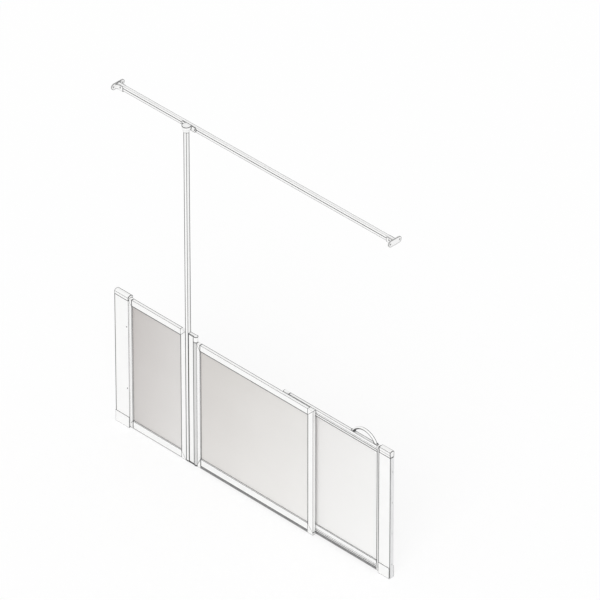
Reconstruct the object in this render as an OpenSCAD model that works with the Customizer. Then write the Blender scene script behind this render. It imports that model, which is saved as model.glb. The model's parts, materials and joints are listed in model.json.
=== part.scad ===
// Half-height shower screen that closes an alcove between two walls.
// From the left: a wall profile, a fixed glazed panel, a floor-to-rail post, a hinged glazed door
// that swings outwards, a glazed panel that slides behind the door, and a closing wall profile.
// X runs across the alcove from the left wall face, Y runs into the alcove, Z runs up from the floor.
// Y = 0 is the middle of the thickness of the fixed panel and of the door. Sizes are in millimetres.

/* [Alcove] */
// Distance between the two wall faces
alcove_w = 1815; // [1750:5:1900]

/* [Frame bars] */
// Depth of the bars of the fixed panel and the door, front to back
frame_d = 18; // [17:0.5:20]
// Depth of the bars of the sliding panel, front to back
slider_d = 16; // [15.5:0.5:17.5]
// Face width of the frame bars
frame_w = 35.5; // [34:0.5:38]
// Wall thickness of the hollow bars
bar_wall = 1.6; // [1.4:0.1:1.8]
// Radius of the outer edges of the bars
edge_r = 2.5; // [1.5:0.5:3]
// Length of the corner block legs inside the bars
leg_l = 20; // [14:1:26]
// Clearance round a corner block leg inside its bar
leg_clear = 0.2; // [0.1:0.05:0.3]

/* [Glazing] */
// Thickness of the glazing sheets
glass_t = 4; // [3:0.5:4]
// Thickness of the gasket on each face of the glazing
gasket_t = 1.5; // [1.2:0.1:1.8]
// Depth of the glazing groove in a bar
glass_groove = 10; // [9:0.5:11]
// Depth to which a glazing sheet enters the groove
glass_bite = 7; // [6:0.5:8]
// Thickness of the gasket round the edge of the glazing
gasket_edge = 1; // [0.8:0.1:1.5]
// Width of gasket that shows inside the bars
gasket_show = 2.5; // [1.5:0.5:3]

/* [Guide grooves] */
// Width of the mouth of a guide groove
groove_mouth = 9; // [8:0.5:9.5]
// Thickness of the lips of a guide groove
groove_lip = 1.4; // [1.2:0.1:1.6]
// Inside width of a guide groove
cavity_w = 12.4; // [12:0.2:13]
// Inside depth of a guide groove behind its lips
cavity_d = 2.6; // [2.2:0.1:2.8]
// Distance from the top edge of a top rail to the middle of its guide groove
groove_drop = 18.6; // [17:0.2:19]
// Height of the middle of a lower guide groove above the lower edge of its rail
groove_rise = 13.5; // [13:0.5:15]
// Clearance of a guide shoe in its groove
shoe_clear = 0.3; // [0.2:0.05:0.4]
// Length of a guide shoe along its groove
shoe_l = 22; // [16:1:26]
// Gap between the back of the door and the front of the sliding panel
panel_gap = 2; // [1.5:0.5:3]

/* [Left wall profile] */
// Width of the left wall profile
infill_w = 96; // [90:1:105]
// Depth of the left wall profile, front to back
infill_d = 32; // [30:0.5:36]
// Wall thickness of the wall profiles
profile_wall = 1.8; // [1.6:0.1:2]
// Distance from the wall to the edge of a wall profile
wall_gap = 3; // [2:0.5:4]
// How far the wall channels stand out from the wall
channel_w = 44; // [38:1:48]
// Wall thickness of the wall channels
channel_wall = 1.6; // [1.4:0.1:2]
// Clearance between a wall channel and its profile
channel_clear = 0.3; // [0.2:0.05:0.4]
// Radius of the wall fixing holes
fixing_r = 2.6; // [2:0.1:3]
// Distance from the ends of a wall channel to its outer fixing holes
fixing_end = 80; // [50:5:120]
// Distance from a fixing hole to the screw of the wall profile nearest to it
fixing_step = 60; // [40:5:80]
// Distance from the top of a wall profile to the top of its channel
channel_drop = 1; // [0.5:0.5:10]
// Straight height of the side of the left cap
cap_h = 15; // [12:1:18]
// Rise of the dome of the left cap
cap_crown = 11; // [6:1:14]
// Height of the covers at the foot of the wall profiles
cover_h = 62; // [50:1:75]
// How far the left foot cover stands proud of its profile
cover_proud = 3; // [2:0.5:4]
// Thickness of the floor plate of a foot cover
cover_floor = 1.7; // [1.2:0.1:2.5]
// Clearance between a foot cover and its wall profile
cover_clear = 0.3; // [0.2:0.05:0.4]
// Height of the side of the left cap above the fixed panel
cap_over = 4; // [2:0.5:6]
// Gap between the fixed panel and the web of the left profile
web_gap = 2; // [1:0.5:3]
// Height of the middle between the two screws on the left profile
profile_screw_mid = 406; // [380:1:420]
// Distance between the two screws on the left profile
profile_screw_pitch = 358; // [300:1:400]
// Distance from the edge of the left profile to its screws
profile_screw_inset = 12; // [10:0.5:14]

/* [Fixed panel] */
// Height of the fixed panel
fixed_h = 750; // [735:1:800]
// Width of the left upright that shows beside the wall profile
fixed_stile_show = 14.4; // [12:0.2:18]
// Width of the glazing that shows in the fixed panel
fixed_open_w = 331.1; // [280:0.1:400]
// Face width of the right upright of the fixed panel
fixed_right_w = 33; // [30:0.5:36]
// Face height of the lower rail of the fixed panel
fixed_base_h = 43.4; // [38:0.2:48]

/* [Post] */
// Width of the post
post_w = 20; // [18:0.5:24]
// Depth of the post, front to back
post_d = 21; // [20:0.5:24]
// Wall thickness of the post
post_wall = 2; // [1.5:0.1:2.5]
// Thickness of the foot plate under the post
foot_t = 3; // [2:0.5:5]
// Length of the plug of the foot inside the post
foot_plug = 22; // [15:1:30]
// Distance from the floor, and from the top of the fixed panel, to the outer of the screws that
// join jamb, post and fixed panel
through_end = 120; // [100:5:160]

/* [Hinge] */
// Width of the hinge jamb
jamb_w = 35.8; // [34:0.2:38]
// Distance from the jamb to the hinge axis
axis_offset = 6.7; // [6.2:0.1:7.5]
// Outside diameter of the round hinge edge of the door
barrel_dia = 23; // [22:0.5:24]
// Wall thickness of the round hinge edge
barrel_wall = 3; // [2.5:0.1:3.2]
// Clearance between the round edge and its seat in the jamb
seat_clear = 0.8; // [0.6:0.1:1]
// Distance from the hinge axis to the flat face of the door
axis_to_flat = 12.8; // [12.6:0.1:14]
// Diameter of the hinge pins
pin_dia = 8; // [6:0.5:9]
// Running clearance of a pin in its bush, on the radius
pin_clear = 0.05; // [0.03:0.01:0.08]
// Height of the bottom pivot block
pivot_h = 6; // [5:0.5:7]
// Thickness of the flange of a hinge bush
bush_flange = 1.5; // [1:0.1:2]
// Length of a hinge bush inside the round edge
bush_l = 18; // [14:1:24]
// Axial play between a hinge bush and the fixed part beside it
hinge_play = 0.3; // [0.2:0.05:0.5]
// Height of the jamb above the door
jamb_over = 28; // [22:1:34]
// Thickness of the plate on top of the jamb
bearing_plate = 3; // [2.5:0.5:4]

/* [Door and sliding panel] */
// Height of the door and of the sliding panel above the floor
door_h = 720; // [715:1:730]
// Height of the lower edge of the lower rails above the floor
rail_z = 15; // [14:0.5:18]
// Face height of the lower rails
base_h = 41; // [39:0.5:44]
// Face width of the hinge upright of the door beside its round edge
hinge_stile_w = 21; // [19:0.5:24]
// Width of the glazing that shows in the door
door_open_w = 716.4; // [700:0.1:740]
// Width by which the closed sliding panel lies behind the door
panel_overlap = 218.7; // [200:0.1:240]
// Face width of the left upright of the sliding panel
slider_left_w = 38; // [36:0.5:40]
// Face width of the closing upright of the sliding panel
closing_w = 11; // [10.5:0.5:13]
// Depth of the glazing groove in the closing upright
closing_groove = 7; // [6:0.5:7.5]
// Depth to which the glazing enters the closing upright
closing_bite = 5; // [4:0.5:5.5]
// Width of the magnetic strip on the closing upright
magnet_w = 8; // [6:0.5:10]
// Gap between the magnetic strip and the closing wall profile
close_gap = 0.5; // [0.4:0.1:1.5]
// Gap between the floor and the seals of the moving panels
floor_gap = 1.5; // [1:0.1:2]
// Gap between the floor and the lower corner blocks of the moving panels
block_gap = 2.5; // [2:0.1:3]
// Width of the slot that holds a bottom seal
seal_slot = 6; // [5:0.5:7]
// Depth of the slot that holds a bottom seal
seal_stem = 5; // [4:0.5:5.5]

/* [Closing wall profile] */
// Width of the closing wall profile
strike_w = 74; // [68:1:80]
// Depth of the closing wall profile, front to back
strike_d = 25; // [24:0.5:28]
// Height of the closing wall profile with its cap above the door, without the crown
strike_over = 5; // [2:1:15]
// Height of the side of the right cap
strike_cap_h = 30; // [24:1:34]
// Rise of the crown of the right cap
strike_crown = 4; // [2:1:8]
// How far the right foot cover stands proud of its profile
strike_proud = 3.5; // [2:0.5:4]
// Width of the magnetic strip in the closing wall profile
strike_magnet_w = 14; // [10:1:16]
// Depth of the recess for that magnetic strip
strike_magnet_d = 3.5; // [2:0.5:4]
// Clearance at each side of that magnetic strip in its recess
strip_clear = 0.1; // [0.1:0.05:0.3]
// Length of the stop lip behind the closed sliding panel
stop_lip = 14; // [8:1:18]
// Thickness of the stop lip
stop_t = 2.5; // [2:0.1:3]

/* [Curtain rail] */
// Height of the top of the rail above the floor
rail_top = 1923; // [1850:1:2000]
// Height of the rail section
rail_h = 28; // [26:0.5:32]
// Depth of the rail section, front to back
rail_d = 14.6; // [13:0.2:18]
// Distance from the back of the post to the front of the rail
rail_back = 7.5; // [6:0.5:10]
// Wall thickness of the rail
rail_wall = 1.6; // [1.4:0.1:2]
// Depth of the groove along the front of the rail
rail_groove_d = 1.2; // [0.6:0.1:1.2]
// Height of the groove along the front of the rail
rail_groove_h = 3; // [2:0.5:4]
// Clearance between the rail and the sides of a wall bracket, and round the top of the post
rail_fit = 0.15; // [0.1:0.05:0.3]
// Length of the flange of a wall bracket
bracket_l = 84; // [76:1:92]
// Height of the flange of a wall bracket
bracket_h = 33; // [30:0.5:38]
// Thickness of the flange of a wall bracket
bracket_t = 5; // [4:0.5:6]
// Distance from the wall to the mouth of a wall bracket
bracket_reach = 46; // [36:1:56]
// Wall thickness of the bracket cradle round the rail, and over the top of the post
socket_wall = 3; // [2.5:0.1:4]
// Distance from the top of the rail to the top of a wall bracket cradle
cradle_drop = 2; // [1:0.5:4]
// Radius of the fillet between the flange and the cradle of a wall bracket
gusset_r = 13; // [8:0.5:15]
// Distance between the two wall holes of a bracket
bracket_pitch = 60; // [56:1:66]
// Length of the flange of the bracket on the post
post_flange_l = 100; // [90:1:110]
// Distance between the two screws of the bracket on the post
post_screw_pitch = 80; // [70:1:88]
// Thickness of the flange of the bracket on the post
post_flange_t = 4.5; // [3.5:0.5:5.5]
// Radius of the cup of that bracket over the post
post_cap_r = 22; // [20:0.5:24]
// Radius of the lower end of the cup
post_cap_low_r = 16.5; // [16:0.5:18]
// Height of the tapered part of the cup
post_cap_taper = 18; // [10:1:24]
// Distance from the underside of the rail to the lower end of the cup
post_cap_drop = 5; // [2:0.5:8]

/* [Handle] */
// Length of the handle over its feet
handle_l = 174; // [160:1:190]
// Rise of the handle above the sliding panel
handle_rise = 50.5; // [42:0.5:58]
// Diameter of the round handle bar
handle_t = 14; // [12:0.5:14.5]
// Depth of the handle feet, front to back
handle_d = 14; // [12:0.5:15]
// Length of a handle foot
foot_l = 25; // [22:1:28]
// Distance from the end of the handle to the end of its bow
foot_out = 14; // [13.5:0.5:16]
// Thickness of a handle foot
handle_foot_t = 4; // [3.5:0.5:5]
// Distance from the end of the handle to the screw in its foot
foot_screw = 4.8; // [4.6:0.1:5.2]
// Distance from the closing end of the top rail to the handle
handle_inset = 1; // [0.5:0.5:8]

/* [Hidden] */
eps = 0.01;
$fn = 48;

// Colours
white = [0.96, 0.96, 0.95];
soft_white = [0.9, 0.9, 0.9];
glass_grey = [0.84, 0.83, 0.82];
rubber_grey = [0.35, 0.35, 0.36];
seal_grey = [0.5, 0.5, 0.5];
steel = [0.7, 0.71, 0.73];
dark = [0.25, 0.25, 0.27];

// Places along X, from the left wall
fixed_x0 = infill_w + fixed_stile_show - frame_w;
fixed_gx0 = infill_w + fixed_stile_show;
fixed_gx1 = fixed_gx0 + fixed_open_w;
post_x0 = fixed_gx1 + fixed_right_w;
post_x1 = post_x0 + post_w;
post_mid = (post_x0 + post_x1) / 2;
jamb_x1 = post_x1 + jamb_w;
axis_x = jamb_x1 + axis_offset;
door_flat_x = axis_x + axis_to_flat;
door_gx0 = door_flat_x + hinge_stile_w;
door_gx1 = door_gx0 + door_open_w;
door_x1 = door_gx1 + frame_w;
slider_x0 = door_x1 - panel_overlap;
slider_gx0 = slider_x0 + slider_left_w;
strike_x0 = alcove_w - strike_w;
slider_x1 = strike_x0 - close_gap;
slider_gx1 = slider_x1 - magnet_w - closing_w;

// Places along Y
half_d = frame_d / 2;
slider_y0 = half_d + panel_gap;
slider_y1 = slider_y0 + slider_d;
slider_yc = (slider_y0 + slider_y1) / 2;
rail_y0 = post_d / 2 + rail_back;
rail_front = rail_groove_d + rail_wall;
rail_y1 = rail_y0 + rail_d;
rail_yc = (rail_y0 + rail_y1) / 2;

// Places along Z
fixed_gz1 = fixed_h - frame_w;
door_gz0 = rail_z + base_h;
door_gz1 = door_h - frame_w;
top_groove_z = door_h - groove_drop;
low_groove_z = rail_z + groove_rise;
infill_top = fixed_h + cap_over - cap_h;
web_x = fixed_x0 - profile_wall - web_gap;
profile_z0 = cover_floor + cover_clear;
strike_h = door_h + strike_over;
strike_top = strike_h - strike_cap_h;
left_channel_h = infill_top - channel_drop;
right_channel_h = strike_top - channel_drop;
rail_z0 = rail_top - rail_h;
rail_zc = rail_top - rail_h / 2;
jamb_top = door_h + jamb_over;
post_top = rail_top - socket_wall;

// Glazing groove width and guide groove depth
groove_w = glass_t + 2 * gasket_t;
guide_d = groove_lip + cavity_d;

// Hinge
barrel_r = barrel_dia / 2;
pin_r = pin_dia / 2;
pin_seat = 0.02;
pin_base = 1;
barrel_z0 = pivot_h + hinge_play + bush_flange;
barrel_z1 = door_h - hinge_play - bush_flange;
pin_reach = bush_l + bush_flange - 2;

// Screws: shank radius, clearance hole radius, head radius and head height
shank_r = 1.9;
shank_hole = 2.1;
head_r = 3.3;
head_h = 1.6;
head_clear = 0.2;
handle_screw_l = 10;
through_r = 2;
through_hole = 2.2;
through_head_r = 3.6;
through_head_h = 2.2;
screw_bite = 3;
through_bite = 8.5;
through_l = jamb_wall_x() - post_x0 + through_bite;
through_z = [through_end, fixed_h / 2, fixed_h - through_end];
channel_screw_x = wall_gap + channel_w / 2;
channel_screw_l = 8;
profile_screw_x = infill_w - profile_screw_inset;
profile_screw_z = [profile_screw_mid - profile_screw_pitch / 2, profile_screw_mid + profile_screw_pitch / 2];
post_screw_x = [post_mid - post_screw_pitch / 2, post_mid + post_screw_pitch / 2];
grub_r = 2.5;
grub_x = bracket_reach * 0.63;
grub_fit = 0.02;

// Guide shoes: round pegs in the uprights, and the places of the shoes
peg_r = 2.5;
peg_l = 5;
peg_fit = 0.02;
peg_end = 0.2;
shoe_z = [low_groove_z, top_groove_z];
door_shoe_x = door_gx1 + frame_w / 2;
slider_shoe_x = slider_x0 + slider_left_w / 2;

// Corner blocks: share of a bar and of a leg over which an upright leg runs, and least leg width
leg_share = 0.6;
least_leg = 4;

// Caps and covers: gap beside a plug, length of the left plug, radius of the foot cover corner
plug_gap = 4;
cap_plug_l = 12;
cover_r = 6;

// Handle: a round bar bent to an arc whose ends stand on the two feet
handle_x1 = slider_gx1 - handle_inset;
handle_x0 = handle_x1 - handle_l;
handle_screw_x = [handle_x0 + foot_screw, handle_x1 - foot_screw];
bow_half = handle_l / 2 - foot_out;
bow_rise = handle_rise - handle_t / 2;
bow_r = (bow_half * bow_half + bow_rise * bow_rise) / (2 * bow_rise);

// Each panel: glazing opening left, right, bottom, top, then widths of the left, right, bottom and
// top bars, then the middle in Y, the depth, and the side of the guide groove (1 back, -1 front)
fixed_panel = [fixed_gx0, fixed_gx1, fixed_base_h, fixed_gz1,
    frame_w, fixed_right_w, fixed_base_h, frame_w, 0, frame_d, 0];
door_panel = [door_gx0, door_gx1, door_gz0, door_gz1,
    hinge_stile_w, frame_w, base_h, frame_w, 0, frame_d, 1];
slider_panel = [slider_gx0, slider_gx1, door_gz0, door_gz1,
    slider_left_w, closing_w, base_h, frame_w, slider_yc, slider_d, -1];

function fixing_gap(h) = (h - 2 * fixing_end) / 3;
function fixing_z(h) = [for (i = [0:3]) fixing_end + i * fixing_gap(h)];
function channel_screw_z(h) = [fixing_end + fixing_step, h / 2, h - fixing_end - fixing_step];
function jamb_wall_x() = post_x1 + profile_wall;
function arc(cx, cy, r, a0, a1, n = 5) =
    [for (i = [0:n]) [cx + r * cos(a0 + (a1 - a0) * i / n), cy + r * sin(a0 + (a1 - a0) * i / n)]];
function ellipse_arc(cx, cy, rx, ry, n) =
    [for (i = [0:n]) [cx + rx * cos(180 * i / n), cy + ry * sin(180 * i / n)]];
function chamber_v0(d, side) = -d / 2 + bar_wall + (side < 0 ? guide_d : 0);
function chamber_v1(d, side) = d / 2 - bar_wall - (side > 0 ? guide_d : 0);
function chamber_u0(seal) = seal ? seal_stem + bar_wall : bar_wall;
function chamber_u1(w, groove) = w - groove - bar_wall;

// A prism whose outline is drawn in X and Z, between two places in Y
module prism_xz(points, y0, y1) {
    translate([0, y1, 0]) rotate([90, 0, 0]) linear_extrude(y1 - y0) polygon(points);
}

// A prism whose outline is drawn in Y and Z, between two places in X
module prism_yz(points, x0, x1) {
    translate([x0, 0, 0]) rotate([90, 0, 90]) linear_extrude(x1 - x0) polygon(points);
}

// A rectangle with four round corners
function round_rect(a0, a1, b0, b1, r) = concat(
    arc(a1 - r, b1 - r, r, 0, 90), arc(a0 + r, b1 - r, r, 90, 180),
    arc(a0 + r, b0 + r, r, 180, 270), arc(a1 - r, b0 + r, r, 270, 360));

module box(x0, x1, y0, y1, z0, z1) {
    translate([x0, y0, z0]) cube([x1 - x0, y1 - y0, z1 - z0]);
}

module rod(x, y, z0, z1, r) {
    translate([x, y, z0]) cylinder(h = z1 - z0, r = r);
}

// A round bar along Y
module rod_y(x, y0, y1, z, r) {
    translate([x, y1, z]) rotate([90, 0, 0]) cylinder(h = y1 - y0, r = r);
}

// A round bar along X
module rod_x(x0, x1, y, z, r) {
    translate([x0, y, z]) rotate([0, 90, 0]) cylinder(h = x1 - x0, r = r);
}

// Outline of a bar: u runs from the outer edge to the glazing, v runs front to back
module bar_outline(w, d) {
    polygon(concat(
        arc(edge_r, -d / 2 + edge_r, edge_r, 180, 270),
        [[w, -d / 2], [w, d / 2]],
        arc(edge_r, d / 2 - edge_r, edge_r, 90, 180)
    ));
}

// Section of a hollow glazing bar, with an optional guide groove and an optional seal slot
module bar_section(w, d, side, guide_u, seal, groove) {
    difference() {
        bar_outline(w, d);
        translate([w - groove, -groove_w / 2]) square([groove + 1, groove_w]);
        translate([chamber_u0(seal), chamber_v0(d, side)])
            square([chamber_u1(w, groove) - chamber_u0(seal), chamber_v1(d, side) - chamber_v0(d, side)]);
        if (side != 0) {
            mirror([0, side < 0 ? 1 : 0]) {
                translate([guide_u - groove_mouth / 2, d / 2 - guide_d]) square([groove_mouth, guide_d + 1]);
                translate([guide_u - cavity_w / 2, d / 2 - guide_d]) square([cavity_w, cavity_d]);
            }
        }
        if (seal) {
            translate([-1, -seal_slot / 2]) square([seal_stem + 1, seal_slot]);
        }
    }
}

module top_rail(p) {
    translate([p[0], p[8], p[3] + p[7]]) rotate([0, 90, 0])
        linear_extrude(p[1] - p[0]) bar_section(p[7], p[9], p[10], groove_drop, false, glass_groove);
}

module bottom_rail(p, seal) {
    translate([p[1], p[8], p[2] - p[6]]) rotate([0, -90, 0])
        linear_extrude(p[1] - p[0]) bar_section(p[6], p[9], p[10], groove_rise, seal, glass_groove);
}

// The outline of the mitred end that an upright leaves to a corner block
function top_corner(gx, gz, w, h) = [[gx, gz], [gx + w, gz + h], [gx, gz + h]];
function low_corner(gx, gz, w, h, foot) =
    [[gx, gz], [gx, gz - h - foot], [gx + w, gz - h - foot], [gx + w, gz - h]];

module mitre_cuts(gx, p, w) {
    far = 1;
    prism_xz([[gx, p[3]], [gx + w * (1 + far), p[3] + p[7] * (1 + far)], [gx, p[3] + p[7] * (1 + far)]],
        p[8] - p[9], p[8] + p[9]);
    prism_xz([[gx, p[2]], [gx + w * (1 + far), p[2] - p[6] * (1 + far)], [gx, p[2] - p[6] * (1 + far)]],
        p[8] - p[9], p[8] + p[9]);
}

// An upright at the left of a panel, between its mitred ends
module left_stile(p) {
    difference() {
        translate([p[0] - p[4], p[8], p[2] - p[6]])
            linear_extrude(p[3] + p[7] - p[2] + p[6]) bar_section(p[4], p[9], 0, 0, false, glass_groove);
        mitre_cuts(p[0], p, -p[4]);
    }
}

// An upright at the right of a panel, between its mitred ends
module right_stile(p, groove) {
    difference() {
        translate([p[1] + p[5], p[8], p[2] - p[6]]) mirror([1, 0, 0])
            linear_extrude(p[3] + p[7] - p[2] + p[6]) bar_section(p[5], p[9], 0, 0, false, groove);
        mitre_cuts(p[1], p, p[5]);
    }
}

// The rounded envelope of a top rail, as far as the corner blocks reach
module top_envelope(p, x0, x1) {
    translate([x0, p[8], p[3] + p[7]]) rotate([0, 90, 0]) linear_extrude(x1 - x0) bar_outline(p[7], p[9]);
}

// A leg along X inside a rail, from the joint at x towards dir
module rail_leg(p, x, dir, top, seal) {
    v0 = p[8] + chamber_v0(p[9], p[10]) + leg_clear;
    v1 = p[8] + chamber_v1(p[9], p[10]) - leg_clear;
    u0 = chamber_u0(seal) + leg_clear;
    u1 = chamber_u1(top ? p[7] : p[6], glass_groove) - leg_clear;
    z0 = top ? p[3] + p[7] - u1 : p[2] - p[6] + u0;
    z1 = top ? p[3] + p[7] - u0 : p[2] - p[6] + u1;
    box(min(x, x + dir * leg_l) - eps, max(x, x + dir * leg_l) + eps, v0, v1, z0, z1);
}

// A leg along Z inside an upright, from the corner at z towards dir
module stile_leg(p, left, z, reach) {
    w = left ? p[4] : p[5];
    v0 = p[8] + chamber_v0(p[9], 0) + leg_clear;
    v1 = p[8] + chamber_v1(p[9], 0) - leg_clear;
    u0 = chamber_u0(false) + leg_clear;
    u1 = chamber_u1(w, glass_groove) - leg_clear;
    x0 = left ? p[0] - w + u0 : p[1] + w - u1;
    x1 = left ? p[0] - w + u1 : p[1] + w - u0;
    if (u1 - u0 > least_leg) {
        box(x0, x1, v0, v1, min(z, z + reach), max(z, z + reach));
    }
}

// The four corner blocks of a panel, with legs in the rails and the uprights
module corner_blocks(p, foot, seal, closing_only) {
    y0 = p[8] - p[9] / 2;
    y1 = p[8] + p[9] / 2;
    intersection() {
        prism_xz(top_corner(p[0], p[3], -p[4], p[7]), y0, y1);
        top_envelope(p, p[0] - p[4], p[0]);
    }
    rail_leg(p, p[0], 1, true, false);
    stile_leg(p, true, p[3] + p[7] * leg_share, -(p[7] + leg_l) * leg_share);
    intersection() {
        prism_xz(top_corner(p[1], p[3], p[5], p[7]), y0, y1);
        top_envelope(p, p[1], p[1] + p[5]);
    }
    rail_leg(p, p[1], -1, true, false);
    if (!closing_only) {
        stile_leg(p, false, p[3] + p[7] * leg_share, -(p[7] + leg_l) * leg_share);
    }
    prism_xz(low_corner(p[0], p[2], -p[4], p[6], foot), y0, y1);
    rail_leg(p, p[0], 1, false, seal);
    stile_leg(p, true, p[2] - p[6] * leg_share, (p[6] + leg_l) * leg_share);
    prism_xz(low_corner(p[1], p[2], p[5], p[6], foot), y0, y1);
    rail_leg(p, p[1], -1, false, seal);
    if (!closing_only) {
        stile_leg(p, false, p[2] - p[6] * leg_share, (p[6] + leg_l) * leg_share);
    }
}

module glazing(p, right_bite) {
    box(p[0] - glass_bite, p[1] + right_bite, p[8] - glass_t / 2, p[8] + glass_t / 2,
        p[2] - glass_bite, p[3] + glass_bite);
}

// The space that the glazing and its gasket take together
module glazing_space(p, right_bite) {
    box(p[0] - glass_bite - gasket_edge, p[1] + right_bite + gasket_edge,
        p[8] - groove_w / 2, p[8] + groove_w / 2,
        p[2] - glass_bite - gasket_edge, p[3] + glass_bite + gasket_edge);
}

// A gasket that wraps the edge of the glazing all the way round
module gasket(p, right_bite) {
    y0 = p[8] - groove_w / 2;
    y1 = p[8] + groove_w / 2;
    difference() {
        glazing_space(p, right_bite);
        box(p[0] + gasket_show, p[1] - gasket_show, y0 - 1, y1 + 1, p[2] + gasket_show, p[3] - gasket_show);
        glazing(p, right_bite);
    }
}

// A bottom seal: a stem in the rail, two outer fins and a bulb
module bottom_seal(p) {
    s = p[9] / 2 - 0.8;
    z1 = p[2] - p[6];
    z0 = floor_gap;
    h = z1 - z0;
    stem = seal_slot / 2 - 0.2;
    prism_yz([for (q = [
        [stem, h + seal_stem - 0.3], [-stem, h + seal_stem - 0.3], [-stem, h],
        [-s, h], [-s, h * 0.75], [-s * 0.86, 0], [-s * 0.62, 0], [-s * 0.45, h * 0.5],
        [-s * 0.16, h * 0.12], [s * 0.16, h * 0.12],
        [s * 0.45, h * 0.5], [s * 0.62, 0], [s * 0.86, 0], [s, h * 0.75], [s, h], [stem, h]
    ]) [p[8] + q[0], z0 + q[1]]], p[0] + 0.3, p[1] - 0.3);
}

// A sliding shoe: a head inside a guide groove, a neck through its mouth and a peg in the block
module guide_shoe(x, z, y_face, dir) {
    head_y0 = y_face + dir * (panel_gap + groove_lip + shoe_clear);
    head_y1 = y_face + dir * (panel_gap + guide_d - shoe_clear);
    neck = groove_mouth / 2 - shoe_clear;
    head = cavity_w / 2 - shoe_clear;
    box(x - shoe_l / 2, x + shoe_l / 2, min(y_face, head_y1), max(y_face, head_y1), z - neck, z + neck);
    box(x - shoe_l / 2, x + shoe_l / 2, min(head_y0, head_y1), max(head_y0, head_y1), z - head, z + head);
    rod_y(x, min(y_face - dir * peg_l, y_face + dir * eps), max(y_face - dir * peg_l, y_face + dir * eps),
        z, peg_r);
}

module shoe_socket(x, z, y_face, dir) {
    rod_y(x, min(y_face, y_face - dir * (peg_l + peg_end)), max(y_face, y_face - dir * (peg_l + peg_end)),
        z, peg_r + peg_fit);
}

// A flange with round ends and a waisted outline, drawn in its own plane round the origin
module saddle_outline(l, h) {
    r = h / 2;
    union() {
        translate([-l / 2 + r, 0]) circle(r = r);
        translate([l / 2 - r, 0]) circle(r = r);
        translate([-l / 2 + r, -r]) square([l - 2 * r, h]);
    }
}

// A pan head screw along Y whose head seats at y and whose shank runs towards dir
module screw_y(x, y, z, dir, l) {
    rod_y(x, min(y, y - dir * head_h), max(y, y - dir * head_h), z, head_r);
    rod_y(x, min(y, y + dir * l), max(y, y + dir * l), z, shank_r);
}

// U-shaped channel screwed to a wall, standing out towards dir
module wall_channel(x_wall, dir, yc, d, z1) {
    difference() {
        box(min(x_wall, x_wall + dir * channel_w), max(x_wall, x_wall + dir * channel_w),
            yc - d / 2, yc + d / 2, 0, z1);
        box(min(x_wall + dir * channel_wall, x_wall + dir * (channel_w + 1)),
            max(x_wall + dir * channel_wall, x_wall + dir * (channel_w + 1)),
            yc - d / 2 + channel_wall, yc + d / 2 - channel_wall, -1, z1 + 1);
        for (z = fixing_z(z1)) {
            rod_x(x_wall - channel_wall - 1, x_wall + channel_wall + 1, yc, z, fixing_r);
        }
        for (z = channel_screw_z(z1)) {
            rod_y(x_wall + dir * channel_screw_x, yc, yc + d, z, shank_hole);
        }
    }
}

module left_wall_channel() {
    color(soft_white)
        wall_channel(0, 1, 0, infill_d - 2 * (profile_wall + channel_clear), left_channel_h);
}

module left_infill_profile() {
    wall_in = infill_d / 2 - profile_wall;
    grip = frame_d / 2 + channel_clear;
    lip_x = web_x + profile_wall;
    z0 = profile_z0;
    color(white) difference() {
        box(wall_gap, infill_w, -infill_d / 2, infill_d / 2, z0, infill_top);
        box(wall_gap - 1, web_x, -wall_in, wall_in, z0 - 1, infill_top + 1);
        box(lip_x, infill_w + 1, -grip, grip, z0 - 1, infill_top + 1);
        for (s = [-1, 1]) {
            box(lip_x + profile_wall, infill_w - profile_wall,
                s > 0 ? grip + profile_wall : -wall_in, s > 0 ? wall_in : -grip - profile_wall,
                z0 - 1, infill_top + 1);
        }
        for (z = profile_screw_z) {
            rod_y(profile_screw_x, -infill_d / 2 - 1, 0, z, shank_hole);
        }
        for (z = channel_screw_z(left_channel_h)) {
            rod_y(channel_screw_x, 0, infill_d, z, shank_hole);
        }
    }
}

module left_profile_cap() {
    hw = infill_d / 2;
    z1 = infill_top + cap_h;
    plug_y = infill_d / 2 - profile_wall - channel_clear;
    color(white) union() {
        difference() {
            prism_yz(concat([[hw, infill_top]], [for (q = ellipse_arc(0, z1, hw, cap_crown, 18)) q],
                [[-hw, infill_top]]), wall_gap, infill_w);
            box(web_x, infill_w + 1, -frame_d / 2 - channel_clear, frame_d / 2 + channel_clear,
                infill_top - 1, fixed_h + channel_clear);
        }
        box(channel_w + plug_gap, web_x - channel_clear, -plug_y, plug_y,
            infill_top - cap_plug_l, infill_top + eps);
    }
}

module left_bottom_cover() {
    out = infill_d / 2 + cover_proud;
    in = infill_d / 2 + cover_clear;
    color(white) union() {
        difference() {
            foot_cover_outline(wall_gap, infill_w, -out, out);
            box(wall_gap - 1, infill_w + 1, -in, in, -1, cover_h + 1);
        }
        box(channel_w + plug_gap, fixed_x0 - plug_gap, -in - eps, in + eps, 0, cover_floor);
    }
}

// A foot cover block with one rounded upper corner on the side away from its wall
module foot_cover_outline(x0, x1, y0, y1, flip = false) {
    r = cover_r;
    corner = flip ? arc(x0 + r, cover_h - r, r, 90, 180) : arc(x1 - r, cover_h - r, r, 0, 90);
    prism_xz(flip ? concat([[x0, 0], [x1, 0], [x1, cover_h]], corner)
        : concat([[x0, 0], [x1, 0]], corner, [[x0, cover_h]]), y0, y1);
}

module left_profile_screws() {
    color(steel) for (z = profile_screw_z) {
        screw_y(profile_screw_x, -infill_d / 2, z, 1, infill_d / 2 - half_d + bar_wall + screw_bite);
    }
}

module left_channel_screws() {
    color(steel) for (z = channel_screw_z(left_channel_h)) {
        screw_y(channel_screw_x, infill_d / 2, z, -1, channel_screw_l);
    }
}

module fixed_left_stile() {
    color(white) difference() {
        left_stile(fixed_panel);
        for (z = profile_screw_z) {
            rod_y(profile_screw_x, -frame_d, -frame_d / 2 + bar_wall + 1, z, shank_hole);
        }
    }
}

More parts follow.
